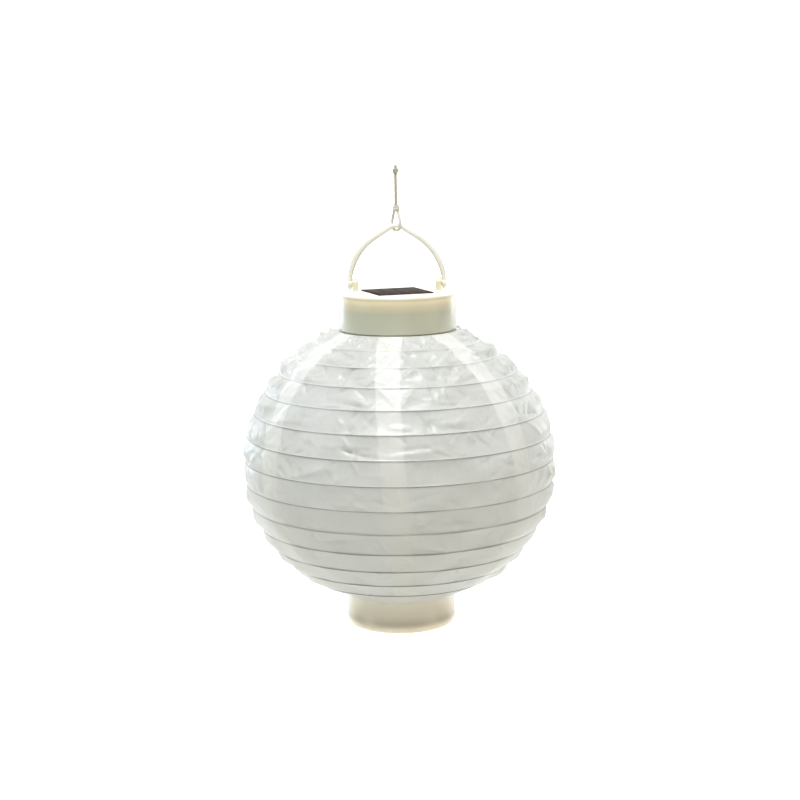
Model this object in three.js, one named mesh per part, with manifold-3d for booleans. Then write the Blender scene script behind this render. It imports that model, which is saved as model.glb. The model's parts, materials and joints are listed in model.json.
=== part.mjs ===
// Solar accordion paper lantern, hanging open on its cord.
// Millimetres, +Z up. The origin is the top end of the hanging cord, and everything hangs below it.
import * as THREE from 'three';
import { mergeVertices } from 'three/addons/utils/BufferGeometryUtils.js';
import Module from 'manifold-3d';

const wasm = await Module();
wasm.setup();

// Clearance between pieces that touch
const GAP = 0.3;

// Hanging cord: an end knot, a straight drop, a second knot and a loop round the bail
const CORD_RADIUS = 0.95;
const END_KNOT_Z = -3.6;
const END_KNOT_RADIUS = 2.1;
const LOOP_KNOT_Z = -26.7;
const LOOP_KNOT_RADIUS = 2.3;
const LOOP_HALF_X = 2.5;
const LOOP_REACH = 2.9;

// Bail: a pointed arch of round rod with a pin into each ear; its legs run a little below the pins
const BAIL_ROD_RADIUS = 1.5;
const BAIL_TOP_Z = -36.3;
const BAIL_ARC_RADIUS = 34.5;
const BAIL_ARC_CENTRE_X = -4.7;
const BAIL_ARC_END = THREE.MathUtils.degToRad(58);
const BAIL_TIP_RADIUS = 7.5;
const BAIL_BOSS_RADIUS = 2.2;
const BAIL_TOE = 3.2;
const BAIL_PIN_RADIUS = 1.4;

// Cap: a round shell with two ears, closed below by a stepped base plate
const DECK_Z = -79.2;
const CAP_BOTTOM_Z = -103;
const CAP_RADIUS = 37.5;
const CAP_WALL = 1.6;
const DECK_THICKNESS = 2.4;
const CAP_EDGE_RADIUS = 2.2;
const PIVOT_Z = DECK_Z + 5;
const EAR_X = 24.5;
const EAR_THICKNESS = 3.6;
const EAR_HALF_WIDTH = 3.5;
const EAR_HOLE_RADIUS = 1.8;
const CAP_SEGMENTS = 48;

// Solar panel: a square laminate in a pocket of the deck
const PANEL_SIDE = 36;
const PANEL_TURN = THREE.MathUtils.degToRad(20);
const POCKET_DEPTH = 1.5;
const CELL_THICKNESS = 0.7;
const RESIN_THICKNESS = 0.5;

// Base plate and what it carries; heights are above the cap's lower edge
const BASE_RADIUS = 33;
const BASE_WALL = 1.4;
const BASE_LOW = 2.2;
const BASE_THICKNESS = 1.6;
const BASE_FLANGE_LOW = 9;
const BASE_FLANGE_RADIUS = 35.6;
const POST_CIRCLE = 27;
const POST_RADIUS = 3;
const POST_ANGLES = [60, 180, 300];
const SCREW_RADIUS = 1.1;
const SCREW_HEAD_RADIUS = 2.5;
const BATTERY_X = -11;
const BATTERY_RADIUS = 5.25;
const BATTERY_LENGTH = 44.5;
const COVER_WIDTH = 12.4;
const COVER_LENGTH = 47.4;
const BOARD_LOW = 8.2;
const BOARD_THICKNESS = 1.6;
const BOARD_X = 9.3;
const BOARD_SIZE = [25, 28];
const STANDOFFS = [[18, 10], [18, -10]];
const LED_RADIUS = 2.5;
const LED_TIP = -0.9;
const SWITCH_X = 16;
const SWITCH_TRAVEL = 3;
const WIRE_RADIUS = 0.6;

// Top collar: a ring that pushes up into the cap, with a flange that the paper is glued to
const COLLAR_OUTER = 35.4;
const COLLAR_INNER = 33.6;
const COLLAR_TOP = 8.5;
const FLANGE_RADIUS = 37.2;
const FLANGE_LOW = -2.3;

// Shade: 13 wire hoops on an ellipsoid, with a paper panel between each two
const SHADE_CENTRE_Z = -188.6;
const SHADE_HALF_WIDTH = 98;
const SHADE_HALF_HEIGHT = 91;
const HOOP_COUNT = 13;
const HOOP_PITCH = 15.05;
const EQUATOR_HOOP = 7.27;
const HOOP_WIRE_RADIUS = 0.6;
const PAPER_CLEARANCE = 0.95;
const PAPER_THICKNESS = 0.35;
const SHADE_SEGMENTS = 40;

// Bottom cup
const CUP_RADIUS = 35.2;
const CUP_TOP_Z = -271.7;
const CUP_BOTTOM_Z = -293.9;
const CUP_WALL = 1.6;
const CUP_EDGE_RADIUS = 3;

const lantern = new THREE.Group();
lantern.name = 'accordion_paper_lantern';

function plastic(colour, roughness = 0.4) {
  return new THREE.MeshStandardMaterial({ color: colour, roughness, metalness: 0 });
}

function metal(colour, roughness = 0.3) {
  return new THREE.MeshStandardMaterial({ color: colour, roughness, metalness: 1 });
}

const IVORY = 0xe9e4cf;
const PAPER_WHITE = 0xf0f0ea;

function add(name, geometry, material, place = [0, 0, 0]) {
  const mesh = new THREE.Mesh(geometry, material);
  mesh.name = name;
  mesh.position.set(...place);
  lantern.add(mesh);
  return mesh;
}

// ---- solids and booleans ----

function toSolid(geometry) {
  const bare = geometry.clone();
  bare.deleteAttribute('normal');
  bare.deleteAttribute('uv');
  const merged = mergeVertices(bare, 1e-4);
  return new wasm.Manifold(new wasm.Mesh({
    numProp: 3,
    vertProperties: new Float32Array(merged.attributes.position.array),
    triVerts: new Uint32Array(merged.index.array),
  }));
}

function fromSolid(solid) {
  const mesh = solid.getMesh();
  const geometry = new THREE.BufferGeometry();
  geometry.setAttribute('position', new THREE.BufferAttribute(new Float32Array(mesh.vertProperties), 3));
  geometry.setIndex(new THREE.BufferAttribute(new Uint32Array(mesh.triVerts), 1));
  geometry.computeVertexNormals();
  return geometry;
}

function combine(base, joined, cut) {
  let solid = toSolid(base);
  for (const piece of joined) {
    solid = solid.add(toSolid(piece));
  }
  for (const piece of cut) {
    solid = solid.subtract(toSolid(piece));
  }
  return fromSolid(solid);
}

// ---- shapes ----

function arc(cx, cy, radius, from, to, steps) {
  const points = [];
  for (let i = 0; i <= steps; i++) {
    const angle = from + (to - from) * i / steps;
    points.push([cx + radius * Math.cos(angle), cy + radius * Math.sin(angle)]);
  }
  return points;
}

// A profile of [radius, z] points turned about the vertical axis
function revolve(profile, segments) {
  const points = profile.map(([r, z]) => new THREE.Vector2(r, z));
  return new THREE.LatheGeometry(points, segments).rotateX(Math.PI / 2);
}

function closedRing(profile, segments) {
  return revolve([...profile, profile[0]], segments);
}

function pillar(radius, low, high, x, y, sides = 16) {
  const geometry = new THREE.CylinderGeometry(radius, radius, high - low, sides);
  return geometry.rotateX(Math.PI / 2).translate(x, y, (low + high) / 2);
}

function block(sizeX, sizeY, low, high, x, y) {
  return new THREE.BoxGeometry(sizeX, sizeY, high - low).translate(x, y, (low + high) / 2);
}

function tube(points, radius, sides, steps) {
  const section = new THREE.Shape(arc(0, 0, radius, 0, 2 * Math.PI * (sides - 1) / sides, sides - 1)
    .map(([x, y]) => new THREE.Vector2(x, y)));
  const path = new THREE.CatmullRomCurve3(points.map((p) => new THREE.Vector3(...p)));
  return new THREE.ExtrudeGeometry(section, { steps, bevelEnabled: false, extrudePath: path });
}

// ---- hanging cord ----

const BAR_Z = BAIL_TOP_Z - BAIL_ROD_RADIUS;

function knotProfile(centre, radius, steps, from, to) {
  return arc(0, centre, radius, from, to, steps);
}

function buildCord() {
  const cord = plastic(0xd8d2ba, 0.85);
  const neck = Math.asin(CORD_RADIUS / END_KNOT_RADIUS);
  const bulge = knotProfile(END_KNOT_Z, END_KNOT_RADIUS, 6, -Math.PI / 2, Math.PI / 2 - neck);
  const endKnot = revolve([[0, bulge[0][1]], ...bulge.slice(1), [CORD_RADIUS, 0], [0, 0]], 10);
  add('end_knot', endKnot, cord);

  const dropTop = END_KNOT_Z - END_KNOT_RADIUS - GAP;
  const dropLow = LOOP_KNOT_Z + LOOP_KNOT_RADIUS + GAP;
  add('hang_cord', tube([[0, 0, dropLow], [0, 0, (dropLow + dropTop) / 2], [0, 0, dropTop]],
    CORD_RADIUS, 8, 6), cord);

  const knot = knotProfile(LOOP_KNOT_Z, LOOP_KNOT_RADIUS, 7, -Math.PI / 2, Math.PI / 2);
  add('loop_knot', revolve([[0, knot[0][1]], ...knot.slice(1, -1), [0, knot[7][1]]], 10), cord);
  add('cord_loop', tube(loopRoute(), CORD_RADIUS, 8, 28), cord);
}

// The loop leaves the knot, passes in front of the bar on the right, under it, and behind it on the left
function loopRoute() {
  const under = LOOP_KNOT_Z - LOOP_KNOT_RADIUS - GAP;
  const strand = CORD_RADIUS + GAP;
  const route = [[strand, -0.2, under], [1.9, -1.5, under - 2.8], [LOOP_HALF_X, -LOOP_REACH, BAR_Z + 2.4]];
  const turns = 6;
  for (let i = 0; i <= turns; i++) {
    const angle = Math.PI * i / turns;
    route.push([LOOP_HALF_X * Math.cos(angle), -LOOP_REACH * Math.cos(angle),
      BAR_Z - LOOP_REACH * Math.sin(angle)]);
  }
  route.push([-LOOP_HALF_X, LOOP_REACH, BAR_Z + 2.4], [-1.9, 1.5, under - 2.8], [-strand, 0.2, under]);
  return route;
}

// ---- bail ----

function bailSide() {
  const legX = BAIL_ARC_CENTRE_X + BAIL_ARC_RADIUS;
  const toe = [[legX, PIVOT_Z - BAIL_TOE], [legX, PIVOT_Z - BAIL_TOE / 2]];
  const shoulder = arc(BAIL_ARC_CENTRE_X, PIVOT_Z, BAIL_ARC_RADIUS, 0, BAIL_ARC_END, 9);
  const tipCentreZ = BAR_Z - BAIL_TIP_RADIUS;
  const tip = arc(0, tipCentreZ, BAIL_TIP_RADIUS, BAIL_ARC_END, Math.PI / 2, 3);
  return [...toe, ...shoulder, ...tip.slice(0, -1)];
}

function buildBail() {
  const right = bailSide();
  const left = right.map(([x, z]) => [-x, z]).reverse();
  const route = [...right, [0, BAR_Z], ...left].map(([x, z]) => [x, 0, z]);
  const arch = tube(route, BAIL_ROD_RADIUS, 8, 44);
  const legX = BAIL_ARC_CENTRE_X + BAIL_ARC_RADIUS;
  const ends = [];
  for (const side of [-1, 1]) {
    const boss = new THREE.CylinderGeometry(BAIL_BOSS_RADIUS, BAIL_BOSS_RADIUS, 3, 16);
    ends.push(boss.rotateZ(Math.PI / 2).translate(side * legX, 0, PIVOT_Z));
    const pinInner = EAR_X + 0.4;
    const pin = new THREE.CylinderGeometry(BAIL_PIN_RADIUS, BAIL_PIN_RADIUS, legX - pinInner, 12);
    ends.push(pin.rotateZ(Math.PI / 2).translate(side * (legX + pinInner) / 2, 0, PIVOT_Z));
  }
  add('bail_handle', combine(arch, ends, []), plastic(IVORY, 0.35));
}

// ---- cap ----

// An ear stands on the deck: a plate with a round top and the pin hole
function ear(side) {
  const outline = new THREE.Shape();
  outline.moveTo(EAR_HALF_WIDTH, DECK_Z - 0.6);
  outline.lineTo(EAR_HALF_WIDTH, PIVOT_Z);
  outline.absarc(0, PIVOT_Z, EAR_HALF_WIDTH, 0, Math.PI, false);
  outline.lineTo(-EAR_HALF_WIDTH, DECK_Z - 0.6);
  outline.closePath();
  const hole = new THREE.Path();
  hole.absarc(0, PIVOT_Z, EAR_HOLE_RADIUS, 0, 2 * Math.PI, true);
  outline.holes.push(hole);
  const plate = new THREE.ExtrudeGeometry(outline,
    { depth: EAR_THICKNESS, bevelEnabled: false, curveSegments: 8 });
  plate.rotateX(Math.PI / 2).rotateZ(Math.PI / 2);
  const inner = side > 0 ? EAR_X : -EAR_X - EAR_THICKNESS;
  return plate.translate(inner, 0, 0);
}

function postPlaces() {
  return POST_ANGLES.map((degrees) => {
    const angle = THREE.MathUtils.degToRad(degrees);
    return [POST_CIRCLE * Math.cos(angle), POST_CIRCLE * Math.sin(angle)];
  });
}

function buildCapShell() {
  const inner = CAP_RADIUS - CAP_WALL;
  const ceiling = DECK_Z - DECK_THICKNESS;
  const edge = arc(CAP_RADIUS - CAP_EDGE_RADIUS, DECK_Z - CAP_EDGE_RADIUS, CAP_EDGE_RADIUS, 0, Math.PI / 2, 3);
  const shell = revolve([[0, ceiling], [inner, ceiling], [inner, CAP_BOTTOM_Z],
    [CAP_RADIUS, CAP_BOTTOM_Z], ...edge, [0, DECK_Z]], CAP_SEGMENTS);
  const pocketSide = PANEL_SIDE + 2 * GAP;
  const pocket = block(pocketSide, pocketSide, DECK_Z - POCKET_DEPTH, DECK_Z + 1, 0, 0).rotateZ(PANEL_TURN);
  const wireHole = pillar(2.4, ceiling - 1, DECK_Z, 2, 0);
  const joined = [ear(-1), ear(1)];
  const cut = [pocket, wireHole];
  const postLow = CAP_BOTTOM_Z + BASE_LOW + BASE_THICKNESS + GAP;
  for (const [x, y] of postPlaces()) {
    joined.push(pillar(POST_RADIUS, postLow, ceiling + 0.5, x, y, 12));
    cut.push(pillar(SCREW_RADIUS + GAP, postLow - 1, postLow + 7, x, y, 10));
  }
  add('cap_shell', combine(shell, joined, cut), plastic(IVORY, 0.35));
}

function buildSolarPanel() {
  const cellLow = DECK_Z - POCKET_DEPTH + GAP;
  const resinLow = cellLow + CELL_THICKNESS + GAP;
  const cell = add('solar_cell', block(PANEL_SIDE, PANEL_SIDE, cellLow, cellLow + CELL_THICKNESS, 0, 0),
    plastic(0x30262a, 0.3));
  const resin = add('panel_resin', block(PANEL_SIDE, PANEL_SIDE, resinLow, resinLow + RESIN_THICKNESS, 0, 0),
    plastic(0x3a3036, 0.1));
  cell.rotation.z = PANEL_TURN;
  resin.rotation.z = PANEL_TURN;
}

function buildBasePlate() {
  const low = CAP_BOTTOM_Z + BASE_LOW;
  const top = low + BASE_THICKNESS;
  const flange = CAP_BOTTOM_Z + BASE_FLANGE_LOW;
  const plate = revolve([[0, low], [BASE_RADIUS, low], [BASE_RADIUS, flange], [BASE_FLANGE_RADIUS, flange],
    [BASE_FLANGE_RADIUS, flange + BASE_WALL], [BASE_RADIUS - BASE_WALL, flange + BASE_WALL],
    [BASE_RADIUS - BASE_WALL, top], [0, top]], CAP_SEGMENTS);
  const cut = [
    block(COVER_WIDTH + 2 * GAP, COVER_LENGTH + 2 * GAP, low - 1, top + 1, BATTERY_X, 0),
    pillar(LED_RADIUS + 2 * GAP, low - 1, top + 1, 0, 0),
    block(2.8, SWITCH_TRAVEL + 4, low - 1, top + 1, SWITCH_X, 0),
  ];
  for (const [x, y] of postPlaces()) {
    cut.push(pillar(SCREW_RADIUS + GAP, low - 1, top + 1, x, y, 10));
  }
  const boardLow = CAP_BOTTOM_Z + BOARD_LOW - GAP;
  const joined = STANDOFFS.map(([x, y]) => pillar(1.8, top - 0.5, boardLow, x, y, 10));
  add('base_plate', combine(plate, joined, cut), plastic(0xe4dfca, 0.45));

  const thin = 0.1;
  add('battery_cover', block(COVER_WIDTH, COVER_LENGTH, low + thin, top - thin, BATTERY_X, 0),
    plastic(0xded8c2, 0.45));
}

function buildScrews() {
  const headTop = CAP_BOTTOM_Z + BASE_LOW - GAP;
  const profile = [[0, headTop - 1.5], [SCREW_HEAD_RADIUS - 0.5, headTop - 1.5], [SCREW_HEAD_RADIUS, headTop],
    [SCREW_RADIUS, headTop], [SCREW_RADIUS, headTop + 7], [0, headTop + 7.8]];
  postPlaces().forEach(([x, y], i) => {
    add(`base_screw_${i + 1}`, revolve(profile, 12), metal(0xb9b9b4), [x, y, 0]);
  });
}

function buildElectronics() {
  const boardLow = CAP_BOTTOM_Z + BOARD_LOW;
  const boardTop = boardLow + BOARD_THICKNESS;
  add('circuit_board', block(BOARD_SIZE[0], BOARD_SIZE[1], boardLow, boardTop, BOARD_X, 0),
    plastic(0x2f6b45, 0.5));

  const ledTop = boardLow - GAP;
  const tip = CAP_BOTTOM_Z + LED_TIP;
  const dome = arc(0, tip + LED_RADIUS, LED_RADIUS, -Math.PI / 2, 0, 4);
  add('led', revolve([[0, tip], ...dome.slice(1), [LED_RADIUS, ledTop - 1], [2.9, ledTop - 1],
    [2.9, ledTop], [0, ledTop]], 16), plastic(0xf4f1e2, 0.15));

  const switchTop = boardLow - GAP;
  const switchLow = CAP_BOTTOM_Z + BASE_LOW + BASE_THICKNESS + GAP;
  add('switch_body', block(5, 9, switchLow, switchTop, SWITCH_X, 0), metal(0xa8a8a2, 0.4));
  const knobLow = CAP_BOTTOM_Z + BASE_LOW - 1;
  add('switch_knob', block(2.2, 3, knobLow, switchLow - GAP, SWITCH_X, -SWITCH_TRAVEL / 2),
    plastic(0x1d1d1f, 0.5));
}

function buildBattery() {
  const centre = CAP_BOTTOM_Z + BASE_LOW + BASE_THICKNESS + GAP + BATTERY_RADIUS;
  const half = BATTERY_LENGTH / 2;
  const cell = revolve([[0, -half], [BATTERY_RADIUS, -half], [BATTERY_RADIUS, half - 0.8],
    [1.9, half - 0.8], [1.9, half], [0, half]], 16);
  cell.rotateX(-Math.PI / 2);
  add('battery', cell, plastic(0x3f8f5a, 0.4), [BATTERY_X, 0, centre]);

  add('battery_contact', new THREE.BoxGeometry(7, 0.5, 7), metal(0xc4c4c0), [BATTERY_X, half + 0.55, centre]);

  const coil = [];
  const turns = 3;
  const steps = turns * 8;
  for (let i = 0; i <= steps; i++) {
    const angle = 2 * Math.PI * turns * i / steps;
    const radius = 3.4 - 1.4 * i / steps;
    coil.push([radius * Math.cos(angle), -3.6 * (1 - i / steps), radius * Math.sin(angle)]);
  }
  add('battery_spring', tube(coil, 0.3, 5, 30), metal(0xc4c4c0), [BATTERY_X, -half - 0.7, centre]);
}

function buildWires() {
  const boardTop = CAP_BOTTOM_Z + BOARD_LOW + BOARD_THICKNESS + GAP;
  const panelLow = DECK_Z - POCKET_DEPTH;
  const middle = (boardTop + panelLow) / 2;
  const contactZ = CAP_BOTTOM_Z + BASE_LOW + BASE_THICKNESS + GAP + BATTERY_RADIUS + 4.5;
  const routes = {
    panel_wire_red: [[1, 0, panelLow], [1.5, 1, middle + 3], [6, 4, middle], [8, 5, boardTop]],
    panel_wire_black: [[3, 0, panelLow], [3.5, -1, middle + 3], [8, -4, middle], [10, -5, boardTop]],
    battery_wire_red: [[-9, 23.2, contactZ], [-5, 22, contactZ + 3], [0, 14, contactZ + 2], [2, 11, boardTop]],
    battery_wire_black: [[-9, -26.4, contactZ], [-5, -23, contactZ + 3], [0, -14, contactZ + 2],
      [2, -11, boardTop]],
  };
  for (const [name, route] of Object.entries(routes)) {
    const colour = name.endsWith('red') ? 0xb3261e : 0x202022;
    add(name, tube(route, WIRE_RADIUS, 6, 10), plastic(colour, 0.6));
  }
}

// ---- top collar and bottom cup ----

function buildCollar() {
  const low = CAP_BOTTOM_Z + FLANGE_LOW;
  const flangeTop = CAP_BOTTOM_Z - GAP;
  const top = CAP_BOTTOM_Z + COLLAR_TOP;
  add('top_collar', closedRing([[COLLAR_INNER, low], [FLANGE_RADIUS, low], [FLANGE_RADIUS, flangeTop],
    [COLLAR_OUTER, flangeTop], [COLLAR_OUTER, top], [COLLAR_INNER, top]], CAP_SEGMENTS),
  plastic(0x8f8a78, 0.5));
}

function buildCup() {
  const edge = arc(CUP_RADIUS - CUP_EDGE_RADIUS, CUP_BOTTOM_Z + CUP_EDGE_RADIUS, CUP_EDGE_RADIUS,
    -Math.PI / 2, 0, 4);
  const floor = CUP_BOTTOM_Z + CUP_WALL;
  add('bottom_cup', revolve([[0, CUP_BOTTOM_Z], ...edge, [CUP_RADIUS, CUP_TOP_Z],
    [CUP_RADIUS - CUP_WALL, CUP_TOP_Z], [CUP_RADIUS - CUP_WALL, floor + 1.6],
    [CUP_RADIUS - CUP_WALL - 1.6, floor], [0, floor]], CAP_SEGMENTS), plastic(IVORY, 0.35));
}

// ---- shade ----

// The point of the shade's ellipse at a height along its curve from the equator, with its outward normal
function meridian(length) {
  const step = 0.0005 * Math.sign(length || 1);
  let angle = 0;
  let travelled = 0;
  while (travelled < Math.abs(length)) {
    travelled += Math.hypot(SHADE_HALF_WIDTH * Math.sin(angle), SHADE_HALF_HEIGHT * Math.cos(angle))
      * Math.abs(step);
    angle += step;
  }
  const normal = new THREE.Vector2(Math.cos(angle) / SHADE_HALF_WIDTH, Math.sin(angle) / SHADE_HALF_HEIGHT);
  return {
    point: new THREE.Vector2(SHADE_HALF_WIDTH * Math.cos(angle),
      SHADE_CENTRE_Z + SHADE_HALF_HEIGHT * Math.sin(angle)),
    normal: normal.normalize(),
  };
}

const hoops = [];
for (let k = 1; k <= HOOP_COUNT; k++) {
  hoops.push(meridian((EQUATOR_HOOP - k) * HOOP_PITCH));
}

function buildHoops() {
  hoops.forEach(({ point }, i) => {
    const wire = arc(point.x, point.y, HOOP_WIRE_RADIUS, 0, 2 * Math.PI * 4 / 5, 4);
    const name = `hoop_${String(i + 1).padStart(2, '0')}`;
    add(name, closedRing(wire, SHADE_SEGMENTS), metal(0xc9c6ba, 0.45));
  });
}

// Where the paper's inner face meets the collar, each hoop and the cup, from the top down
function paperLines() {
  const upper = hoops[0].normal.clone().rotateAround(new THREE.Vector2(), 0.15);
  const lower = hoops[HOOP_COUNT - 1].normal.clone().rotateAround(new THREE.Vector2(), -0.15);
  return [
    { inner: new THREE.Vector2(FLANGE_RADIUS + 0.35, CAP_BOTTOM_Z - 1.9), normal: upper },
    ...hoops.map(({ point, normal }) => (
      { inner: point.clone().addScaledVector(normal, PAPER_CLEARANCE), normal })),
    { inner: new THREE.Vector2(CUP_RADIUS + 0.35, CUP_TOP_Z - 1.2), normal: lower },
  ];
}

function buildPaper() {
  const lines = paperLines();
  for (let k = 1; k < lines.length; k++) {
    const top = lines[k - 1];
    const low = lines[k];
    const along = low.inner.clone().sub(top.inner).normalize().multiplyScalar(GAP / 2);
    const topInner = top.inner.clone().add(along);
    const lowInner = low.inner.clone().sub(along);
    const topOuter = topInner.clone().addScaledVector(top.normal, PAPER_THICKNESS);
    const lowOuter = lowInner.clone().addScaledVector(low.normal, PAPER_THICKNESS);
    const profile = [lowInner, lowOuter, topOuter, topInner].map((p) => [p.x, p.y]);
    const name = `paper_${String(k).padStart(2, '0')}`;
    add(name, closedRing(profile, SHADE_SEGMENTS), plastic(PAPER_WHITE, 0.8));
  }
}

buildCord();
buildBail();
buildCapShell();
buildSolarPanel();
buildBasePlate();
buildScrews();
buildElectronics();
buildBattery();
buildWires();
buildCollar();
buildHoops();
buildPaper();
buildCup();

export default lantern;
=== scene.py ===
import bpy
import bmesh
import json
import math
import numpy as np
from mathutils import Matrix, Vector


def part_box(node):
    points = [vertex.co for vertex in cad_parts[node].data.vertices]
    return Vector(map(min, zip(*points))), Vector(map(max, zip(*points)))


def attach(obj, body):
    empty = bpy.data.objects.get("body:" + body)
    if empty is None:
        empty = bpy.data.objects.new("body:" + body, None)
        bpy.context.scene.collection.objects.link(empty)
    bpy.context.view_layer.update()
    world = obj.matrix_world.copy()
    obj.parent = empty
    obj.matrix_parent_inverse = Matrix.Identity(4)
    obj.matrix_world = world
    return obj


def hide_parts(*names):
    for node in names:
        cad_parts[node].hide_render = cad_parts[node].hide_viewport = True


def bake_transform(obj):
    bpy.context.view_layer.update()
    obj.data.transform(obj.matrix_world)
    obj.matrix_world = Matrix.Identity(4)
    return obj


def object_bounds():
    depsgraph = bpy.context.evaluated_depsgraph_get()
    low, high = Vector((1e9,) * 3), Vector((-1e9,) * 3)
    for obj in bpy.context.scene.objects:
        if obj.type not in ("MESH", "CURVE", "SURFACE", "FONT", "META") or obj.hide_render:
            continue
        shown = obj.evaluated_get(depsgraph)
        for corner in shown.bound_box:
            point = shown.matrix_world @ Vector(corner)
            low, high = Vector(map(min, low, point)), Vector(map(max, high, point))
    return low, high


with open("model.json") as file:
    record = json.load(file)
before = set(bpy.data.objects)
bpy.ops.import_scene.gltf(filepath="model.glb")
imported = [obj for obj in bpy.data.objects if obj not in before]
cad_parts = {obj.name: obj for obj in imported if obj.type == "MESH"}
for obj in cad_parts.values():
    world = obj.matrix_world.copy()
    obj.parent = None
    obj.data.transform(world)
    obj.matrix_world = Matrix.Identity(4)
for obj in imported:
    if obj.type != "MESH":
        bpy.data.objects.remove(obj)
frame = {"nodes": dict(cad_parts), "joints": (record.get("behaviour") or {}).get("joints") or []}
cad_low, cad_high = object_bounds()

MM = 0.001
HOOPS = 13
PANELS = HOOPS + 1
CAP_AROUND = 144

# ---- places, read from the frame ----

collar_low, collar_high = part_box("top_collar")
cap_low, cap_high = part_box("cap_shell")
cup_low, cup_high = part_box("bottom_cup")
rod_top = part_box("bail_handle")[1].z
resin_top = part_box("panel_resin")[1].z
joints = {joint["name"]: joint for joint in frame["joints"]}
PIVOT_Z = joints["bail_swing"]["pos_m"][2]
BAR_Z = joints["cord_swing"]["pos_m"][2]
RESIN_PROUD = 0.3 * MM
DECK_Z = resin_top - RESIN_PROUD
CAP_RADIUS = cap_high.x
CAP_BOTTOM = cap_low.z
CUP_RADIUS = cup_high.x
ROD_RADIUS = rod_top - BAR_Z


def hoop_place(k):
    low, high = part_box(f"hoop_{k:02d}")
    wire = (high.z - low.z) / 2
    return high.x - wire, (low.z + high.z) / 2


HOOP_PLACES = [hoop_place(k) for k in range(1, HOOPS + 1)]


# ---- mesh helpers ----

def add_mesh(name, points, faces):
    mesh = bpy.data.meshes.new(name)
    mesh.from_pydata([tuple(p) for p in points], [], faces)
    mesh.update()
    mesh.polygons.foreach_set("use_smooth", [True] * len(mesh.polygons))
    obj = bpy.data.objects.new(name, mesh)
    bpy.context.scene.collection.objects.link(obj)
    return obj


def ring_faces(rows, around, closed):
    faces = []
    for i in range(rows if closed else rows - 1):
        for j in range(around):
            a = i * around + j
            b = i * around + (j + 1) % around
            c = ((i + 1) % rows) * around + (j + 1) % around
            d = ((i + 1) % rows) * around + j
            faces.append((a, b, c, d))
    return faces


def lathe(name, profile, around=CAP_AROUND):
    """A profile of (radius, z) turned about Z: closed on itself, or capped on the axis."""
    on_axis = profile[0][0] == 0
    ring = profile[1:-1] if on_axis else profile
    angles = np.arange(around) * 2 * math.pi / around
    points = [(r * math.cos(a), r * math.sin(a), z) for r, z in ring for a in angles]
    faces = ring_faces(len(ring), around, not on_axis)
    if on_axis:
        first = len(points)
        points += [(0, 0, profile[0][1]), (0, 0, profile[-1][1])]
        last = (len(ring) - 1) * around
        for j in range(around):
            nxt = (j + 1) % around
            faces.append((first, nxt, j))
            faces.append((first + 1, last + j, last + nxt))
    obj = add_mesh(name, points, faces)
    outward(obj)
    return obj


def outward(obj):
    mesh = bmesh.new()
    mesh.from_mesh(obj.data)
    bmesh.ops.recalc_face_normals(mesh, faces=mesh.faces)
    mesh.to_mesh(obj.data)
    mesh.free()


def sharpen(obj, degrees=35):
    obj.data.polygons.foreach_set("use_smooth", [True] * len(obj.data.polygons))
    obj.data.set_sharp_from_angle(angle=math.radians(degrees))


def arc(cx, cz, radius, start, end, steps):
    angles = np.radians(np.linspace(start, end, steps + 1))
    return [(cx + radius * math.cos(a), cz + radius * math.sin(a)) for a in angles]


def smooth_path(points, count):
    """Points spaced evenly along a Catmull-Rom curve through the given ones."""
    p = np.array(points, float)
    p = np.vstack([2 * p[0] - p[1], p, 2 * p[-1] - p[-2]])
    out = []
    for i in range(1, len(p) - 2):
        for t in np.linspace(0, 1, 24, endpoint=False):
            out.append(0.5 * (2 * p[i] + (p[i + 1] - p[i - 1]) * t
                              + (2 * p[i - 1] - 5 * p[i] + 4 * p[i + 1] - p[i + 2]) * t * t
                              + (3 * p[i] - p[i - 1] - 3 * p[i + 1] + p[i + 2]) * t ** 3))
    out.append(p[-2])
    out = np.array(out)
    along = np.concatenate([[0], np.cumsum(np.linalg.norm(np.diff(out, axis=0), axis=1))])
    at = np.linspace(0, along[-1], count)
    return np.stack([np.interp(at, along, out[:, k]) for k in range(3)], axis=1)


def sweep(name, path, radius, sides=20, closed=False, strands=0, pitch=0.0, groove=0.0):
    """A tube along a path. With strands, its section has that many lobes, which twist along it."""
    path = np.array(path, float)
    count = len(path)
    if closed:
        tangent = np.roll(path, -1, axis=0) - np.roll(path, 1, axis=0)
    else:
        tangent = np.gradient(path, axis=0)
    tangent /= np.linalg.norm(tangent, axis=1)[:, None]
    side = np.cross(tangent[0], [0.3, 0.5, 0.81])
    side /= np.linalg.norm(side)
    frames = []
    for t in tangent:
        side = side - t * side.dot(t)
        side /= np.linalg.norm(side)
        frames.append((side.copy(), np.cross(t, side)))
    radii = np.broadcast_to(radius, (count,))
    along = np.concatenate([[0], np.cumsum(np.linalg.norm(np.diff(path, axis=0), axis=1))])
    points = []
    for i in range(count):
        u, v = frames[i]
        for j in range(sides):
            a = 2 * math.pi * j / sides
            lobes = math.cos(strands * a + 2 * math.pi * along[i] / pitch) if strands else 1.0
            r = radii[i] * (1 - groove * (1 - lobes) / 2)
            points.append(path[i] + r * (math.cos(a) * u + math.sin(a) * v))
    faces = ring_faces(count, sides, closed)
    if not closed:
        faces.append(tuple(range(sides))[::-1])
        faces.append(tuple((count - 1) * sides + j for j in range(sides)))
    obj = add_mesh(name, points, faces)
    outward(obj)
    return obj


def combine(target, tool, operation):
    modifier = target.modifiers.new("combine", "BOOLEAN")
    modifier.operation = operation
    modifier.solver = "EXACT"
    modifier.object = tool
    bpy.context.view_layer.update()
    depsgraph = bpy.context.evaluated_depsgraph_get()
    done = bpy.data.meshes.new_from_object(target.evaluated_get(depsgraph))
    target.modifiers.clear()
    target.data = done
    bpy.data.objects.remove(tool)


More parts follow.
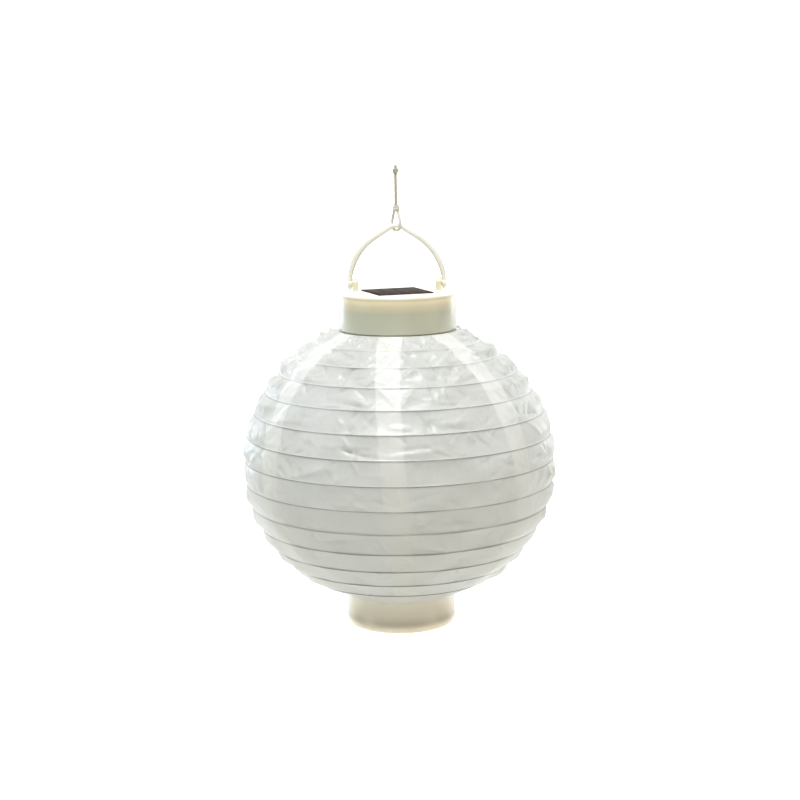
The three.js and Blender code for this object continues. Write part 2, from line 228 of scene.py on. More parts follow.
def rounded_block(name, size, centre, turn, bevel):
    mesh = bmesh.new()
    bmesh.ops.create_cube(mesh, size=1)
    bmesh.ops.scale(mesh, vec=size, verts=mesh.verts)
    bmesh.ops.bevel(mesh, geom=mesh.edges[:], offset=bevel, segments=3, profile=0.5,
                    affect="EDGES")
    cos, sin = math.cos(turn), math.sin(turn)
    for v in mesh.verts:
        x, y, z = v.co
        v.co = (x * cos - y * sin + centre[0], x * sin + y * cos + centre[1], z + centre[2])
    data = bpy.data.meshes.new(name)
    mesh.to_mesh(data)
    mesh.free()
    obj = bpy.data.objects.new(name, data)
    bpy.context.scene.collection.objects.link(obj)
    sharpen(obj)
    return obj


def place(obj, body, material, slot, *nodes):
    obj.data.materials.clear()
    obj.data.materials.append(material)
    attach(obj, body)
    if nodes:
        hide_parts(*nodes)
    return obj


# ---- material helpers ----

class Shader:
    """A material with a Principled shader and short calls for the nodes that feed it."""

    def __init__(self, name, **values):
        self.material = bpy.data.materials.new(name)
        self.material.use_nodes = True
        self.tree = self.material.node_tree
        self.principled = self.tree.nodes["Principled BSDF"]
        self.coords = self.tree.nodes.new("ShaderNodeTexCoord").outputs["Object"]
        for key, value in values.items():
            self.principled.inputs[key.replace("_", " ")].default_value = value

    def node(self, kind, inputs=None, **settings):
        made = self.tree.nodes.new("ShaderNode" + kind)
        for key, value in settings.items():
            setattr(made, key, value)
        for key, value in (inputs or {}).items():
            self.feed(made.inputs[key], value)
        return made

    def feed(self, socket, value):
        if isinstance(value, bpy.types.NodeSocket):
            self.tree.links.new(value, socket)
        else:
            socket.default_value = value

    def set(self, key, value):
        self.feed(self.principled.inputs[key], value)

    def noise(self, scale, detail=4.0, rough=0.55, stretch=(1, 1, 1)):
        spot = self.node("Mapping", {"Vector": self.coords, "Scale": stretch}).outputs[0]
        return self.node("TexNoise", {"Vector": spot, "Scale": scale, "Detail": detail,
                                      "Roughness": rough}).outputs["Fac"]

    def ramp(self, factor, stops):
        made = self.node("ValToRGB", {"Fac": factor})
        elements = made.color_ramp.elements
        while len(elements) < len(stops):
            elements.new(0.5)
        for element, (at, colour) in zip(elements, stops):
            element.position = at
            element.color = (*colour, 1) if len(colour) == 3 else colour
        return made.outputs["Color"]

    def math(self, operation, a, b=0.5, c=0.5):
        return self.node("Math", {0: a, 1: b, 2: c}, operation=operation).outputs[0]

    def span(self, value, low, high, to_low=0.0, to_high=1.0):
        return self.node("MapRange", {"Value": value, "From Min": low, "From Max": high,
                                      "To Min": to_low, "To Max": to_high}).outputs[0]

    def mix(self, factor, a, b):
        made = self.node("Mix", data_type="RGBA")
        self.feed(made.inputs[0], factor)
        self.feed(made.inputs[6], a)
        self.feed(made.inputs[7], b)
        return made.outputs[2]

    def height(self):
        return self.node("SeparateXYZ", {"Vector": self.coords}).outputs["Z"]

    def bump(self, height, strength, distance):
        made = self.node("Bump", {"Height": height, "Strength": strength, "Distance": distance})
        self.set("Normal", made.outputs[0])

    def attribute(self, name):
        return self.node("Attribute", attribute_name=name).outputs["Fac"]


def rgb(r, g, b):
    """Linear colour from display values of 0 to 255."""
    return tuple((v / 255 / 12.92) if v <= 10 else ((v / 255 + 0.055) / 1.055) ** 2.4
                 for v in (r, g, b))


def moulded(name, colour, warm, rough=0.32, coat=0.25):
    """Moulded plastic: faint cloudiness, a fine moulding texture and worn, glossier patches."""
    s = Shader(name, Roughness=rough, Coat_Weight=coat, Coat_Roughness=0.12)
    cloud = s.noise(60, 3, 0.5)
    s.set("Base Color", s.mix(s.span(cloud, 0.3, 0.7), (*colour, 1), (*warm, 1)))
    s.set("Roughness", s.span(s.noise(240, 5, 0.6), 0.3, 0.7, rough - 0.06, rough + 0.08))
    s.bump(s.noise(2600, 2, 0.5), 0.06, 0.0002)
    return s


def plain_metal(name, colour, rough=0.32):
    s = Shader(name, Metallic=1.0, Roughness=rough)
    s.set("Base Color", s.mix(s.noise(300, 4), (*colour, 1), (*[c * 0.75 for c in colour], 1)))
    s.set("Roughness", s.span(s.noise(900, 4), 0.3, 0.7, rough - 0.1, rough + 0.12))
    s.bump(s.noise(3000, 3), 0.15, 0.0001)
    return s.material


# ---- camera ----

CAMERA_DISTANCE = 1.10
CAMERA_ELEVATION = math.radians(9.4)
CAMERA_ROLL = math.radians(-0.8)
LENS = 77.4
SENSOR = 36
AIM = Vector((0.0009, 0, -0.149))


def make_camera():
    data = bpy.data.cameras.new("camera")
    data.lens = LENS
    data.sensor_width = SENSOR
    camera = bpy.data.objects.new("camera", data)
    bpy.context.scene.collection.objects.link(camera)
    back = Vector((0, -math.cos(CAMERA_ELEVATION), math.sin(CAMERA_ELEVATION)))
    camera.location = AIM + back * CAMERA_DISTANCE
    camera.rotation_euler = (math.pi / 2 - CAMERA_ELEVATION, 0, 0)
    camera.rotation_euler.rotate_axis("Z", CAMERA_ROLL)
    bpy.context.scene.camera = camera


make_camera()


# ---- hanging cord, its knots and its loop round the bail ----

CORD_RADIUS = 0.95 * MM
LOOP_KNOT_Z = -26.7 * MM
LOOP_KNOT_LOW = -29.3 * MM
LOOP_X = 2.5 * MM
LOOP_REACH = 2.9 * MM
STRAND = 1.25 * MM
ROUTE_POINTS = 200
COIL_RISE = 1.35
END_KNOT_RADIUS = 2.1 * MM


def cord_route():
    """From the knot down before the bar, under it, up behind it, and through the knot to the top."""
    near = [(STRAND, -0.2 * MM, LOOP_KNOT_Z), (STRAND, -0.2 * MM, LOOP_KNOT_LOW),
            (1.9 * MM, -1.5 * MM, LOOP_KNOT_LOW - 2.8 * MM), (LOOP_X, -LOOP_REACH, BAR_Z + 2.4 * MM)]
    under = []
    for i in range(7):
        angle = math.pi * i / 6
        under.append((LOOP_X * math.cos(angle), -LOOP_REACH * math.cos(angle),
                      BAR_Z - LOOP_REACH * math.sin(angle)))
    far = [(-x, -y, z) for x, y, z in near[:0:-1]]
    drop = [(-STRAND * 0.6, 0.1 * MM, LOOP_KNOT_Z), (0, 0, LOOP_KNOT_Z + 3 * MM)]
    drop += [(0, 0, LOOP_KNOT_Z * (1 - i / 5) + 2.4 * MM * (1 - i / 5)) for i in range(1, 6)]
    return smooth_path(near + under + far + drop, ROUTE_POINTS)


def stopper(centre, radius, tube_radius, name, turns=2.5, turn=0.0):
    """A knot drawn tight: the cord wound on itself, its ends tucked into the middle."""
    t = np.linspace(0, 1, 120)
    reach = radius * np.clip(np.minimum(t, 1 - t) / 0.1, 0, 1) ** 0.5
    angle = turn + 2 * math.pi * turns * t
    rise = (t - 0.5) * COIL_RISE * tube_radius * turns
    path = np.stack([centre[0] + reach * np.cos(angle), centre[1] + reach * np.sin(angle),
                     centre[2] + rise], axis=1)
    return sweep(name, path, tube_radius, sides=14)


def cord_material():
    s = Shader("twisted_cord", Roughness=0.85, Sheen_Weight=0.25, Sheen_Roughness=0.5)
    x, y, z = s.node("SeparateXYZ", {"Vector": s.coords}).outputs[:3]
    around = s.math("ARCTAN2", y, x)
    lay = s.math("SINE", s.math("ADD", s.math("MULTIPLY", z, 5200), s.math("MULTIPLY", around, 2)))
    fibre = s.noise(5200, 3, 0.6, (1, 1, 0.35))
    shade = s.math("ADD", s.math("MULTIPLY", lay, 0.22), fibre)
    # the cord is paler in its loop round the bail, darker above the knot up the line
    line_tone = s.ramp(shade, [(0.2, rgb(158, 154, 126)), (0.8, rgb(196, 192, 166))])
    loop_tone = s.ramp(shade, [(0.2, rgb(204, 199, 178)), (0.8, rgb(232, 229, 214))])
    s.set("Base Color", s.mix(s.span(z, LOOP_KNOT_Z, LOOP_KNOT_Z + 3 * MM), loop_tone, line_tone))
    s.bump(shade, 0.5, 0.0003)
    return s.material


def make_cord():
    material = cord_material()
    route = cord_route()
    cord = sweep("cord_line", route, CORD_RADIUS, sides=18, strands=3, pitch=0.004, groove=0.07)
    place(cord, "cord", material, "cord", "hang_cord", "cord_loop")
    end_knot_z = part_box("end_knot")[0].z + END_KNOT_RADIUS
    knots = [stopper((0, 0, LOOP_KNOT_Z), 1.35 * MM, 0.95 * MM, "bail_knot"),
             stopper((0, 0, end_knot_z), 1.05 * MM, 0.9 * MM, "top_knot", 2.0, 0.7)]
    for knot, node in zip(knots, ("loop_knot", "end_knot")):
        place(knot, "cord", material, "cord", node)


make_cord()


# ---- plastics ----

def ivory_cap():
    """Ivory plastic: warm just under the rim, greenish grey down the wall, paler at its bottom edge,
    with a painted highlight along the rim's rounded top.
    """
    s = moulded("cap_ivory", rgb(206, 208, 192), rgb(196, 197, 176))
    level = s.span(s.height(), CAP_BOTTOM, DECK_Z)
    # colour by height: paler at the bottom edge, darker greenish grey at mid wall, a warm band under
    # the rim, and a painted highlight on the rim's rounded top
    wall = s.ramp(level, [(0.0, rgb(200, 202, 182)), (0.55, rgb(188, 188, 162)),
                          (0.74, rgb(216, 204, 168)), (0.86, rgb(238, 226, 190)),
                          (0.93, rgb(214, 202, 164)), (0.97, rgb(248, 245, 230))])
    cloud = s.noise(45, 3, 0.5)
    wall = s.mix(s.span(cloud, 0.35, 0.7, 0, 0.25), wall, (*rgb(214, 208, 178), 1))
    x, y, z = s.node("SeparateXYZ", {"Vector": s.coords}).outputs[:3]
    reach = s.math("SQRT", s.math("ADD", s.math("MULTIPLY", x, x), s.math("MULTIPLY", y, y)))
    # a tan line of painted shade where the deck steps down inside the rim, and cream ears above it
    step = s.math("MULTIPLY", s.span(reach, 34.2 * MM, 34.5 * MM),
                  s.span(reach, 35.5 * MM, 35.1 * MM))
    wall = s.mix(s.math("MULTIPLY", step, 0.75), wall, (*rgb(206, 188, 144), 1))
    ears = s.span(z, DECK_Z + 0.2 * MM, DECK_Z + 1.2 * MM)
    s.set("Base Color", s.mix(ears, wall, (*rgb(230, 223, 190), 1)))
    return s.material


def ivory_cup():
    s = moulded("cup_ivory", rgb(222, 214, 194), rgb(212, 203, 178))
    level = s.span(s.height(), cup_low.z, cup_high.z)
    # colour by height: a painted reflection of the floor on the rounded bottom edge, a band of
    # painted shade above it, paler again towards the rim
    wall = s.ramp(level, [(0.0, rgb(252, 238, 208)), (0.16, rgb(252, 238, 206)),
                          (0.28, rgb(204, 192, 166)), (0.5, rgb(226, 216, 190)),
                          (1.0, rgb(240, 232, 210))])
    cloud = s.noise(50, 3, 0.5)
    s.set("Base Color", s.mix(s.span(cloud, 0.35, 0.7, 0, 0.3), wall, (*rgb(206, 196, 168), 1)))
    return s.material


EAR_INNER = 24.5 * MM
EAR_THICK = 3.6 * MM
EAR_HALF = 3.5 * MM
EAR_HOLE = 1.8 * MM
PANEL_HALF = 18.3 * MM
PANEL_TURN = math.radians(20)
PANEL_SIDE = 36 * MM
LEG_X = 29.8 * MM


def ear(side):
    """A plate with a round top, its edges softened, and the bail's pin hole through it."""
    outline = [(EAR_HALF + 1.0 * MM, DECK_Z - 0.6 * MM), (EAR_HALF, DECK_Z + 0.9 * MM)]
    outline += arc(0, PIVOT_Z, EAR_HALF, 0, 180, 24)
    outline += [(-EAR_HALF, DECK_Z + 0.9 * MM), (-EAR_HALF - 1.0 * MM, DECK_Z - 0.6 * MM)]
    mesh = bmesh.new()
    verts = [mesh.verts.new((0, y, z)) for y, z in outline]
    face = mesh.faces.new(verts)
    grown = bmesh.ops.extrude_face_region(mesh, geom=[face])
    moved = [v for v in grown["geom"] if isinstance(v, bmesh.types.BMVert)]
    bmesh.ops.translate(mesh, vec=(EAR_THICK, 0, 0), verts=moved)
    edges = [e for e in mesh.edges if abs(e.verts[0].co.x - e.verts[1].co.x) < 1e-7]
    bmesh.ops.bevel(mesh, geom=edges, offset=0.4 * MM, segments=3, profile=0.5, affect="EDGES")
    bmesh.ops.recalc_face_normals(mesh, faces=mesh.faces)
    data = bpy.data.meshes.new("ear")
    mesh.to_mesh(data)
    mesh.free()
    obj = bpy.data.objects.new("ear", data)
    obj.location.x = EAR_INNER if side > 0 else -EAR_INNER - EAR_THICK
    bpy.context.scene.collection.objects.link(obj)
    return obj


def pin_tool(x, length, radius):
    bpy.ops.mesh.primitive_cylinder_add(vertices=32, radius=radius, depth=length,
                                        location=(x, 0, PIVOT_Z), rotation=(0, math.pi / 2, 0))
    tool = bpy.context.object
    tool.name = "pin"
    return tool


def make_cap():
    wall = 1.6 * MM
    deck = 2.4 * MM
    ceiling = DECK_Z - deck
    rim = 2.2 * MM
    inner = CAP_RADIUS - wall
    lip = 0.5 * MM
    profile = [(0, ceiling), (inner - 1 * MM, ceiling), (inner, ceiling - 1 * MM),
               (inner, CAP_BOTTOM + lip)]
    profile += arc(CAP_RADIUS - wall / 2, CAP_BOTTOM + wall / 2, wall / 2, 180, 360, 10)
    profile += [(CAP_RADIUS, DECK_Z - rim - 3.2 * MM),
                (CAP_RADIUS - 0.12 * MM, DECK_Z - rim - 1.4 * MM),
                (CAP_RADIUS - 0.12 * MM, DECK_Z - rim - 0.6 * MM)]
    profile += arc(CAP_RADIUS - rim, DECK_Z - rim, rim, 0, 90, 12)
    profile += [(CAP_RADIUS - rim - 0.5 * MM, DECK_Z),
                (CAP_RADIUS - rim - 1.0 * MM, DECK_Z - 0.35 * MM),
                (CAP_RADIUS - rim - 2.0 * MM, DECK_Z - 0.4 * MM),
                (PANEL_HALF * 1.5, DECK_Z - 0.3 * MM), (0, DECK_Z - 0.3 * MM)]
    cap = lathe("cap_body", profile)
    for side in (-1, 1):
        combine(cap, ear(side), "UNION")
        middle = side * (EAR_INNER + EAR_THICK / 2)
        combine(cap, pin_tool(middle, EAR_THICK * 2, EAR_HOLE), "DIFFERENCE")
    pocket = rounded_block("pocket", (2 * PANEL_HALF, 2 * PANEL_HALF, 3 * MM),
                           (0, 0, DECK_Z), PANEL_TURN, 0.5 * MM)
    combine(cap, pocket, "DIFFERENCE")
    sharpen(cap)
    place(cap, "cap", ivory_cap(), "ivory_plastic", "cap_shell")


def bail_route():
    """The middle line of the rod: a leg, a round shoulder, a straight slope and a small round tip."""
    reach = 34.5 * MM
    centre = LEG_X - reach
    tip = 7.5 * MM
    shoulder = 58
    side = arc(centre, PIVOT_Z, reach, 0, shoulder, 24)
    side += arc(0, BAR_Z - tip, tip, shoulder, 90, 6)[:-1]
    toe = [(LEG_X, PIVOT_Z - 3.2 * MM), (LEG_X, PIVOT_Z - 1.6 * MM)]
    side = toe + side
    left = [(-x, z) for x, z in side][::-1]
    return [(x, 0, z) for x, z in side + [(0, BAR_Z)] + left]


def make_bail():
    route = smooth_path(bail_route(), 140)
    height = route[:, 2]
    rise = (height - height.min()) / (height.max() - height.min())
    toe_round = np.sqrt(np.clip((height - height.min()) / (1.2 * MM), 0, 1) * 0.75 + 0.25)
    # the CAD rod's radius low on the legs, stouter over the shoulders, slimmer at the tip
    girth = 1.0 + 0.27 * np.clip((rise - 0.2) / 0.2, 0, 1) - 0.31 * rise ** 4
    rod = sweep("bail_rod", route, ROD_RADIUS * toe_round * girth, sides=24)
    for side in (-1, 1):
        boss = lathe("boss", [(0, -1.5 * MM)] + arc(1.8 * MM, -1.1 * MM, 0.4 * MM, -90, 0, 4)
                     + arc(1.8 * MM, 1.1 * MM, 0.4 * MM, 0, 90, 4) + [(0, 1.5 * MM)], 40)
        boss.rotation_euler = (0, math.pi / 2, 0)
        boss.location = (side * LEG_X, 0, PIVOT_Z)
        combine(rod, boss, "UNION")
        inner = EAR_INNER + 0.4 * MM
        combine(rod, pin_tool(side * (LEG_X + inner) / 2, LEG_X - inner, 1.4 * MM), "UNION")
    sharpen(rod, 40)
    s = moulded("bail_ivory", rgb(243, 241, 228), rgb(234, 230, 210), 0.28, 0.3)
    place(rod, "bail", s.material, "ivory_plastic", "bail_handle")


def make_cup():
    wall = 1.6 * MM
    edge = 3.0 * MM
    low = cup_low.z
    floor = low + wall
    lip = 5.0 * MM
    outer = [(0, low + 0.5 * MM), (CUP_RADIUS - 8 * MM, low + 0.5 * MM),
             (CUP_RADIUS - 7.2 * MM, low)]
    outer += arc(CUP_RADIUS - edge, low + edge, edge, -90, 0, 12)
    outer += [(CUP_RADIUS, low + lip), (CUP_RADIUS - 0.35 * MM, low + lip + 0.5 * MM),
              (CUP_RADIUS - 0.35 * MM, cup_high.z - 0.4 * MM), (CUP_RADIUS - 0.7 * MM, cup_high.z),
              (CUP_RADIUS - wall, cup_high.z), (CUP_RADIUS - wall, floor + 2 * MM),
              (CUP_RADIUS - wall - 2 * MM, floor), (0, floor)]
    cup = lathe("cup_body", outer)
    sharpen(cup)
    place(cup, "cup", ivory_cup(), "ivory_plastic", "bottom_cup")


def make_collar():
    low, high = collar_low.z, collar_high.z
    outer, inner = collar_high.x, 33.6 * MM
    tube = 35.4 * MM
    flange = CAP_BOTTOM - 0.3 * MM
    soft = 0.4 * MM
    profile = [(inner, low + soft), (inner + soft, low)]
    profile += arc(outer - soft, low + soft, soft, -90, 0, 4)
    profile += arc(outer - soft, flange - soft, soft, 0, 90, 4)
    profile += [(tube, flange), (tube, high - soft), (tube - soft, high),
                (inner + soft, high), (inner, high - soft)]
    collar = lathe("collar_ring", profile)
    sharpen(collar)
    s = moulded("collar_plastic", rgb(206, 202, 182), rgb(190, 186, 166), 0.45, 0.1)
    place(collar, "collar", s.material, "collar_plastic", "top_collar")


# ---- solar panel ----

def cell_material(name):
    """Dark brown silicon with thin metal fingers and wider bars, as it shows through its resin."""
    s = Shader(name, Roughness=0.6, Specular_IOR_Level=0.02)
    turned = s.node("Mapping", {"Vector": s.coords, "Rotation": (0, 0, -PANEL_TURN)}).outputs[0]
    x, y = s.node("SeparateXYZ", {"Vector": turned}).outputs[:2]

    def lines(axis, pitch, width):
        spot = s.math("PINGPONG", axis, pitch / 2)
        return s.math("LESS_THAN", spot, width / 2)

    fingers = lines(y, 1.5 * MM, 0.12 * MM)
    bars = lines(s.math("ADD", x, 4.5 * MM), 9 * MM, 0.5 * MM)
    silicon = s.ramp(s.noise(420, 5, 0.7), [(0.3, rgb(42, 33, 28)), (0.7, rgb(66, 53, 45))])
    marked = s.mix(s.math("MULTIPLY", fingers, 0.35), silicon, (*rgb(104, 92, 84), 1))
    marked = s.mix(s.math("MULTIPLY", bars, 0.6), marked, (*rgb(112, 102, 94), 1))
    s.set("Base Color", marked)
    s.bump(s.math("MAXIMUM", fingers, bars), 0.2, 0.0001)
    return s.material


def make_panel():
    for name, node, material, slot, bevel in (
            ("panel_cells", "solar_cell", cell_material("silicon_cells"), "solar_cell", 0.1),
            ("panel_cover", "panel_resin", cell_material("cells_under_resin"), "panel_resin", 0.15)):
        low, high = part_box(node)
        middle = (low.z + high.z) / 2
        size = (PANEL_SIDE, PANEL_SIDE, high.z - low.z)
        plate = rounded_block(name, size, (0, 0, middle), PANEL_TURN, bevel * MM)
        place(plate, "cap", material, slot, node)


# ---- shade ----

# each panel's grid, its rows crowded towards the wires
AROUND = 720
ROWS = 20
CROWDING = 0.125
GORES = 7
OVERLAP_WIDTH = 15 * MM
SEAM_ANGLE = math.radians(-97)
SEAM_LEAN = math.radians(10)
PAPER_OFF_WIRE = 0.85 * MM
HOOP_AROUND = 240
HOOP_WIRE = 0.6 * MM


def paper_lines():
    """Radius and height of the paper where it meets the collar, each hoop and the cup."""
    places = np.array(HOOP_PLACES)
    along = np.gradient(places, axis=0)
    normal = np.stack([-along[:, 1], along[:, 0]], axis=1)
    normal /= np.linalg.norm(normal, axis=1)[:, None]
    lines = [(collar_high.x + 0.35 * MM, CAP_BOTTOM - 0.6 * MM)]
    lines += [tuple(p) for p in places + normal * PAPER_OFF_WIRE]
    lines.append((CUP_RADIUS + 0.35 * MM, cup_high.z - 1.6 * MM))
    return lines


def wrapped(angle):
    return (angle + math.pi) % (2 * math.pi) - math.pi


def folds(rng, theta, v, radius, height, count, depth, lean_mean, lean_spread, halves, middle):
    """Short folds pressed into the sheet, leaning about lean_mean degrees either way from level."""
    total = np.zeros_like(theta)
    for _ in range(count):
        x = wrapped(theta - rng.uniform(-math.pi, math.pi)) * radius
        y = (v - rng.uniform(*middle)) * height
        lean = math.radians(rng.choice([-1, 1]) * rng.normal(lean_mean, lean_spread))
        half = rng.uniform(*halves) * MM
        width = rng.uniform(0.6, 1.7) * MM
        along = x * math.cos(lean) + y * math.sin(lean)
        across = -x * math.sin(lean) + y * math.cos(lean)
        window = np.clip(1 - (along / half) ** 2, 0, None)
        press = rng.choice([-1, 1]) * rng.uniform(0.3, 1.0) * depth
        total += press * np.exp(-np.abs(across) / width) * window
    return total


def seam_angle(k, v):
    """The glued seams lean a little from the top panel to the lowest."""
    return SEAM_ANGLE + SEAM_LEAN * (k - 1 + v) / PANELS


def overlap_at(k, v, theta, radius):
    """1 where two gores lie on each other, 0 where the sheet is single."""
    step = 2 * math.pi / GORES
    off = np.abs((theta - seam_angle(k, v) + step / 2) % step - step / 2) * radius
    return np.clip((OVERLAP_WIDTH / 2 - off) / (0.5 * MM) + 0.5, 0, 1)


def tuck(distance, depth, reach):
    """The sheet leaves the wire, drops behind it, and comes back out over reach."""
    return -depth * (1 - np.exp(-distance / (0.6 * MM))) * np.exp(-distance / reach)


def panel_relief(k, theta, v, radius, height):
    """How far the slack sheet stands off the straight line between its two edges."""
    rng = np.random.default_rng(100 + k)
    edge = np.minimum(v, 1 - v) * height
    free = np.clip(edge / (2.0 * MM), 0, 1)
    upper = max(0.0, 1 - (k - 1) / (PANELS - 3))
    sides = np.abs(np.cos(theta)) ** 4
    belly = (1.9 * sides - 0.8 * (1 - sides)) * MM
    for n in range(3, 18):
        swell = rng.normal(0, 0.14 + 0.12 * upper) * MM
        belly = belly + swell * np.cos(n * theta + rng.uniform(0, 2 * math.pi))
    depth = (0.6 + 1.25 * upper) * MM
    diagonal = folds(rng, theta, v, radius, height, int(40 + 90 * upper), depth,
                     50, 16, (3, 10), (0.1, 0.9))
    level = folds(rng, theta, v, radius, height, int(10 + 44 * upper), 1.1 * depth,
                  8, 10, (6, 22), (0.35, 0.9))
    doubled = overlap_at(k, v, theta, radius)
    stiff = 1 - 0.4 * doubled
    edges = tuck(v * height, (0.8 - 0.68 * upper) * MM, 3.5 * MM)
    edges = edges + tuck((1 - v) * height, 0.4 * MM, 2.0 * MM)
    slack = belly * np.sin(math.pi * v) ** 0.8 * min(1.0, height / (11 * MM))
    return slack + (diagonal + level) * free * stiff + edges + 0.12 * MM * doubled * free


def hoop_shadow_highlight(k, v, height):
    """Painted light along a hoop: below 0 a painted highlight on the taut sheet's ridge, above 0 a
    painted shadow line along the wire.
    """
    lower = (k - 1) / (PANELS - 1)
    under = np.exp(-(v * height / ((0.6 + 0.25 * lower) * MM)) ** 2)
    over = np.exp(-((1 - v) * height / ((0.9 - 0.4 * lower) * MM)) ** 2)
    dark = np.clip(1.3 * lower, 0, 1) * under
    bright = np.clip(1.1 - 1.2 * lower, 0, 1) * over
    grey = np.clip(1.6 * lower - 0.4, 0, 0.8) * over
    return (dark if k > 1 else 0) + (grey - bright if k < PANELS else 0)


def store(panel, name, values):
    attribute = panel.data.attributes.new(name, "FLOAT", "POINT")
    attribute.data.foreach_set("value", values.ravel().astype(np.float32))


def gore_tones(k, v, theta):
    """Each gore is a little darker or lighter than its neighbours."""
    index = np.floor((theta - seam_angle(k, v)) / (2 * math.pi / GORES)).astype(int) % GORES
    tones = np.random.default_rng(7).permutation(GORES) / (GORES - 1)
    return tones[index]


def make_paper_panel(k, top, low, material):
    rows = np.arange(ROWS + 1) / ROWS
    rows = rows - CROWDING * np.sin(2 * math.pi * rows)
    angles = np.arange(AROUND) * 2 * math.pi / AROUND - math.pi
    v, theta = np.meshgrid(rows, angles, indexing="ij")
    drop = np.array([low[0] - top[0], low[1] - top[1]])
    height = float(np.linalg.norm(drop))
    out = np.array([-drop[1], drop[0]]) / height
    radius = (top[0] + low[0]) / 2
    relief = panel_relief(k, theta, v, radius, height)
    r = top[0] + drop[0] * v + out[0] * relief
    z = top[1] + drop[1] * v + out[1] * relief
    points = np.stack([r * np.cos(theta), r * np.sin(theta), z], axis=-1).reshape(-1, 3)
    faces = [(a, d, c, b) for a, b, c, d in ring_faces(ROWS + 1, AROUND, False)]
    panel = add_mesh(f"paper_panel_{k:02d}", points, faces)
    store(panel, "overlap", overlap_at(k, v, theta, top[0] + drop[0] * v))
    store(panel, "gore_tone", gore_tones(k, v, theta))
    store(panel, "hoop_shadow_highlight", hoop_shadow_highlight(k, v, height))
    panel.data.materials.append(material)
    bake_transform(panel)
    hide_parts(f"paper_{k:02d}")


def paper_material():
    """Thin crinkled sheet: light passes through it, less so where two gores lie on each other."""
    s = Shader("crinkled_paper", Roughness=0.4, Specular_IOR_Level=0.7)
    hoop_high, hoop_low = hoop_place(4)[1], hoop_place(HOOPS - 4)[1]
    overlap = s.attribute("overlap")
    cloud = s.noise(38, 4, 0.6)
    fibre = s.noise(700, 5, 0.65, (1, 1, 0.4))
    tone = s.mix(s.span(cloud, 0.3, 0.7), (*rgb(236, 238, 236), 1), (*rgb(225, 227, 221), 1))
    tone = s.mix(s.span(fibre, 0.35, 0.75, 0, 0.3), tone, (*rgb(250, 250, 248), 1))
    # painted light on the overlaps: a painted highlight high on the shade, turning to tan painted
    # shade low down
    doubled = s.mix(s.span(s.height(), hoop_low, hoop_high),
                    (*rgb(224, 222, 208), 1), (*rgb(253, 253, 249), 1))
    tone = s.mix(s.math("MULTIPLY", overlap, 0.65), tone, doubled)
    gore = s.math("MULTIPLY", s.attribute("gore_tone"), 0.2)
    tone = s.mix(gore, tone, (*rgb(216, 220, 216), 1))
    # painted shade: the sheet darker and warmer towards the bottom of the shade
    tone = s.mix(s.span(s.height(), hoop_low, hoop_high, 0.5, 0), tone, (*rgb(220, 217, 202), 1))
    wire = s.attribute("hoop_shadow_highlight")
    # a painted shadow line along each hoop, then a painted highlight on the ridge above it
    tone = s.mix(s.span(wire, 0, 1, 0, 0.96), tone, (*rgb(80, 72, 52), 1))
    tone = s.mix(s.span(wire, 0, -1, 0, 0.9), tone, (*rgb(253, 253, 248), 1))
    s.set("Base Color", tone)
    s.set("Roughness", s.span(cloud, 0.3, 0.7, 0.26, 0.44))
    crumple = s.node("TexVoronoi", {"Vector": s.coords, "Scale": 150.0},
                     feature="DISTANCE_TO_EDGE").outputs[0]
    relief = s.math("ADD", s.math("MULTIPLY", fibre, 0.5), s.math("MINIMUM", crumple, 0.25))
    s.bump(relief, 0.35, 0.0005)
    through = s.node("BsdfTranslucent", {"Color": tone})
    share = s.span(overlap, 0, 1, 0.34, 0.22)
    both = s.node("MixShader", {"Fac": share, 1: s.principled.outputs[0], 2: through.outputs[0]})
    s.tree.links.new(both.outputs[0], s.tree.nodes["Material Output"].inputs["Surface"])
    return s.material


def make_shade():
    material = paper_material()
    lines = paper_lines()
    for k in range(1, PANELS + 1):
        make_paper_panel(k, lines[k - 1], lines[k], material)
    wire = plain_metal("hoop_wire", rgb(206, 203, 192), 0.4)
    for k, (radius, z) in enumerate(HOOP_PLACES, 1):
        turns = np.arange(HOOP_AROUND) * 2 * math.pi / HOOP_AROUND
        path = np.stack([radius * np.cos(turns), radius * np.sin(turns),
                         np.full(HOOP_AROUND, z)], axis=1)
        hoop = sweep(f"wire_hoop_{k:02d}", path, HOOP_WIRE, sides=10, closed=True)
        place(hoop, f"hoop_{k:02d}", wire, "hoop_wire", f"hoop_{k:02d}")


# ---- works inside the cap ----

def speckled(name, dark, light, scale=400, rough=0.45):
    """A plain coloured surface with fine mottling in its colour, gloss and relief."""
    s = Shader(name)
    s.set("Base Color", s.mix(s.span(s.noise(scale, 5), 0.3, 0.7), (*dark, 1), (*light, 1)))
    s.set("Roughness", s.span(s.noise(scale * 2, 3), 0.3, 0.7, rough - 0.08, rough + 0.1))
    s.bump(s.noise(scale * 4, 3), 0.15, 0.0001)
    return s.material


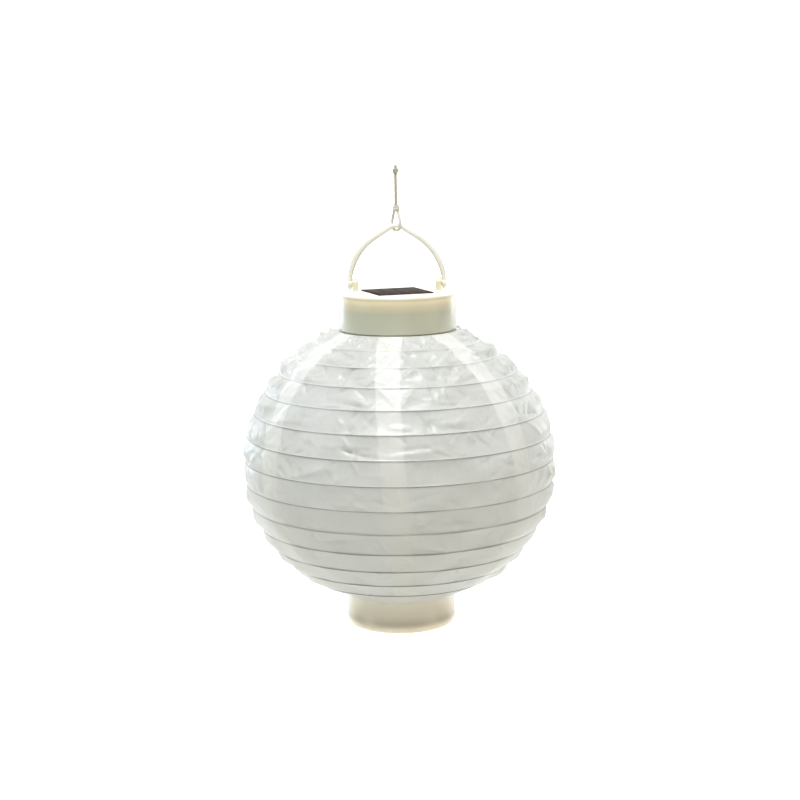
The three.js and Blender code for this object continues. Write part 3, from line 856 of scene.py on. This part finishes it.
def finish_inside():
    base = speckled("base_moulding", rgb(222, 217, 200), rgb(232, 227, 210))
    steel = plain_metal("zinc_plate", rgb(190, 190, 186))
    nickel = plain_metal("nickel_plate", rgb(205, 204, 200), 0.22)
    board = speckled("green_board", rgb(28, 84, 52), rgb(44, 112, 70), 900)
    led = speckled("led_epoxy", rgb(244, 240, 224), rgb(250, 248, 238), 300, 0.15)
    sleeve = speckled("cell_sleeve", rgb(54, 128, 80), rgb(70, 150, 96), 200, 0.35)
    black = speckled("black_moulding", rgb(26, 26, 28), rgb(40, 40, 42), 600)
    red = speckled("red_wire", rgb(160, 34, 28), rgb(190, 48, 38), 500, 0.5)
    looks = {"base_plate": base, "battery_cover": base, "circuit_board": board, "led": led,
             "battery": sleeve, "switch_knob": black, "switch_body": steel,
             "battery_contact": nickel, "battery_spring": nickel,
             "base_screw_1": steel, "base_screw_2": steel, "base_screw_3": steel,
             "panel_wire_red": red, "battery_wire_red": red,
             "panel_wire_black": black, "battery_wire_black": black}
    for name, material in looks.items():
        node = frame["nodes"][name]
        node.data.materials.clear()
        node.data.materials.append(material)


make_cap()
make_bail()
make_cup()
make_collar()
make_panel()
make_shade()
finish_inside()


# ---- stage and lights ----

def make_stage():
    """A pale floor that curves up into a wall behind the lantern."""
    floor_z = cad_low.z - 0.32
    near, far, wall, half_width = -2.2, 1.5, 3.0, 3
    bend = 0.5
    line = [(near, floor_z), (far - bend, floor_z)]
    line += [(far - bend + bend * math.sin(a), floor_z + bend * (1 - math.cos(a)))
             for a in np.linspace(0, math.pi / 2, 16)[1:]]
    line.append((far, floor_z + wall))
    points = [(x, y, z) for y, z in line for x in (-half_width, half_width)]
    faces = [(2 * i, 2 * i + 1, 2 * i + 3, 2 * i + 2) for i in range(len(line) - 1)]
    sweep_board = add_mesh("backdrop", points, faces)
    s = Shader("pale_backdrop", Roughness=0.9)
    s.set("Base Color", s.mix(s.noise(1.5, 2), (0.92, 0.92, 0.92, 1), (0.95, 0.95, 0.95, 1)))
    s.principled.inputs["Emission Color"].default_value = (1, 1, 1, 1)
    depth = s.node("SeparateXYZ", {"Vector": s.coords}).outputs["Y"]
    s.set("Emission Strength", s.span(depth, 0.15, 0.5, 0.0, 0.95))
    sweep_board.data.materials.append(s.material)


LIGHT_AIM = Vector((0, 0, -0.17))


def area_light(name, spot, size, power, colour=(1, 1, 1)):
    data = bpy.data.lights.new(name, "AREA")
    data.size = size
    data.energy = power
    data.color = colour
    lamp = bpy.data.objects.new(name, data)
    lamp.location = spot
    lamp.rotation_euler = (LIGHT_AIM - Vector(spot)).to_track_quat("-Z", "Y").to_euler()
    bpy.context.scene.collection.objects.link(lamp)


def make_light():
    world = bpy.data.worlds.new("studio")
    bpy.context.scene.world = world
    world.use_nodes = True
    world.node_tree.nodes["Background"].inputs["Color"].default_value = (0.97, 0.98, 1, 1)
    world.node_tree.nodes["Background"].inputs["Strength"].default_value = 0.31
    area_light("top_light", (-0.04, -0.45, 1.0), 0.55, 13.0)
    area_light("left_light", (-1.3, -0.45, 0.15), 0.5, 3.4, (0.82, 0.93, 1))
    area_light("left_rim", (-0.80, 0.80, -0.12), 0.3, 1.5, (0.6, 0.82, 1))
    area_light("right_rim", (0.80, 0.80, -0.12), 0.25, 0.7, (0.94, 0.97, 1))
    area_light("low_fill", (0.1, -1.2, -0.55), 0.8, 1.0, (1, 0.95, 0.85))
    area_light("right_light", (1.2, -0.5, 0.1), 0.7, 2.6, (1, 0.96, 0.9))
    bpy.context.scene.view_settings.view_transform = "Standard"


make_stage()
make_light()
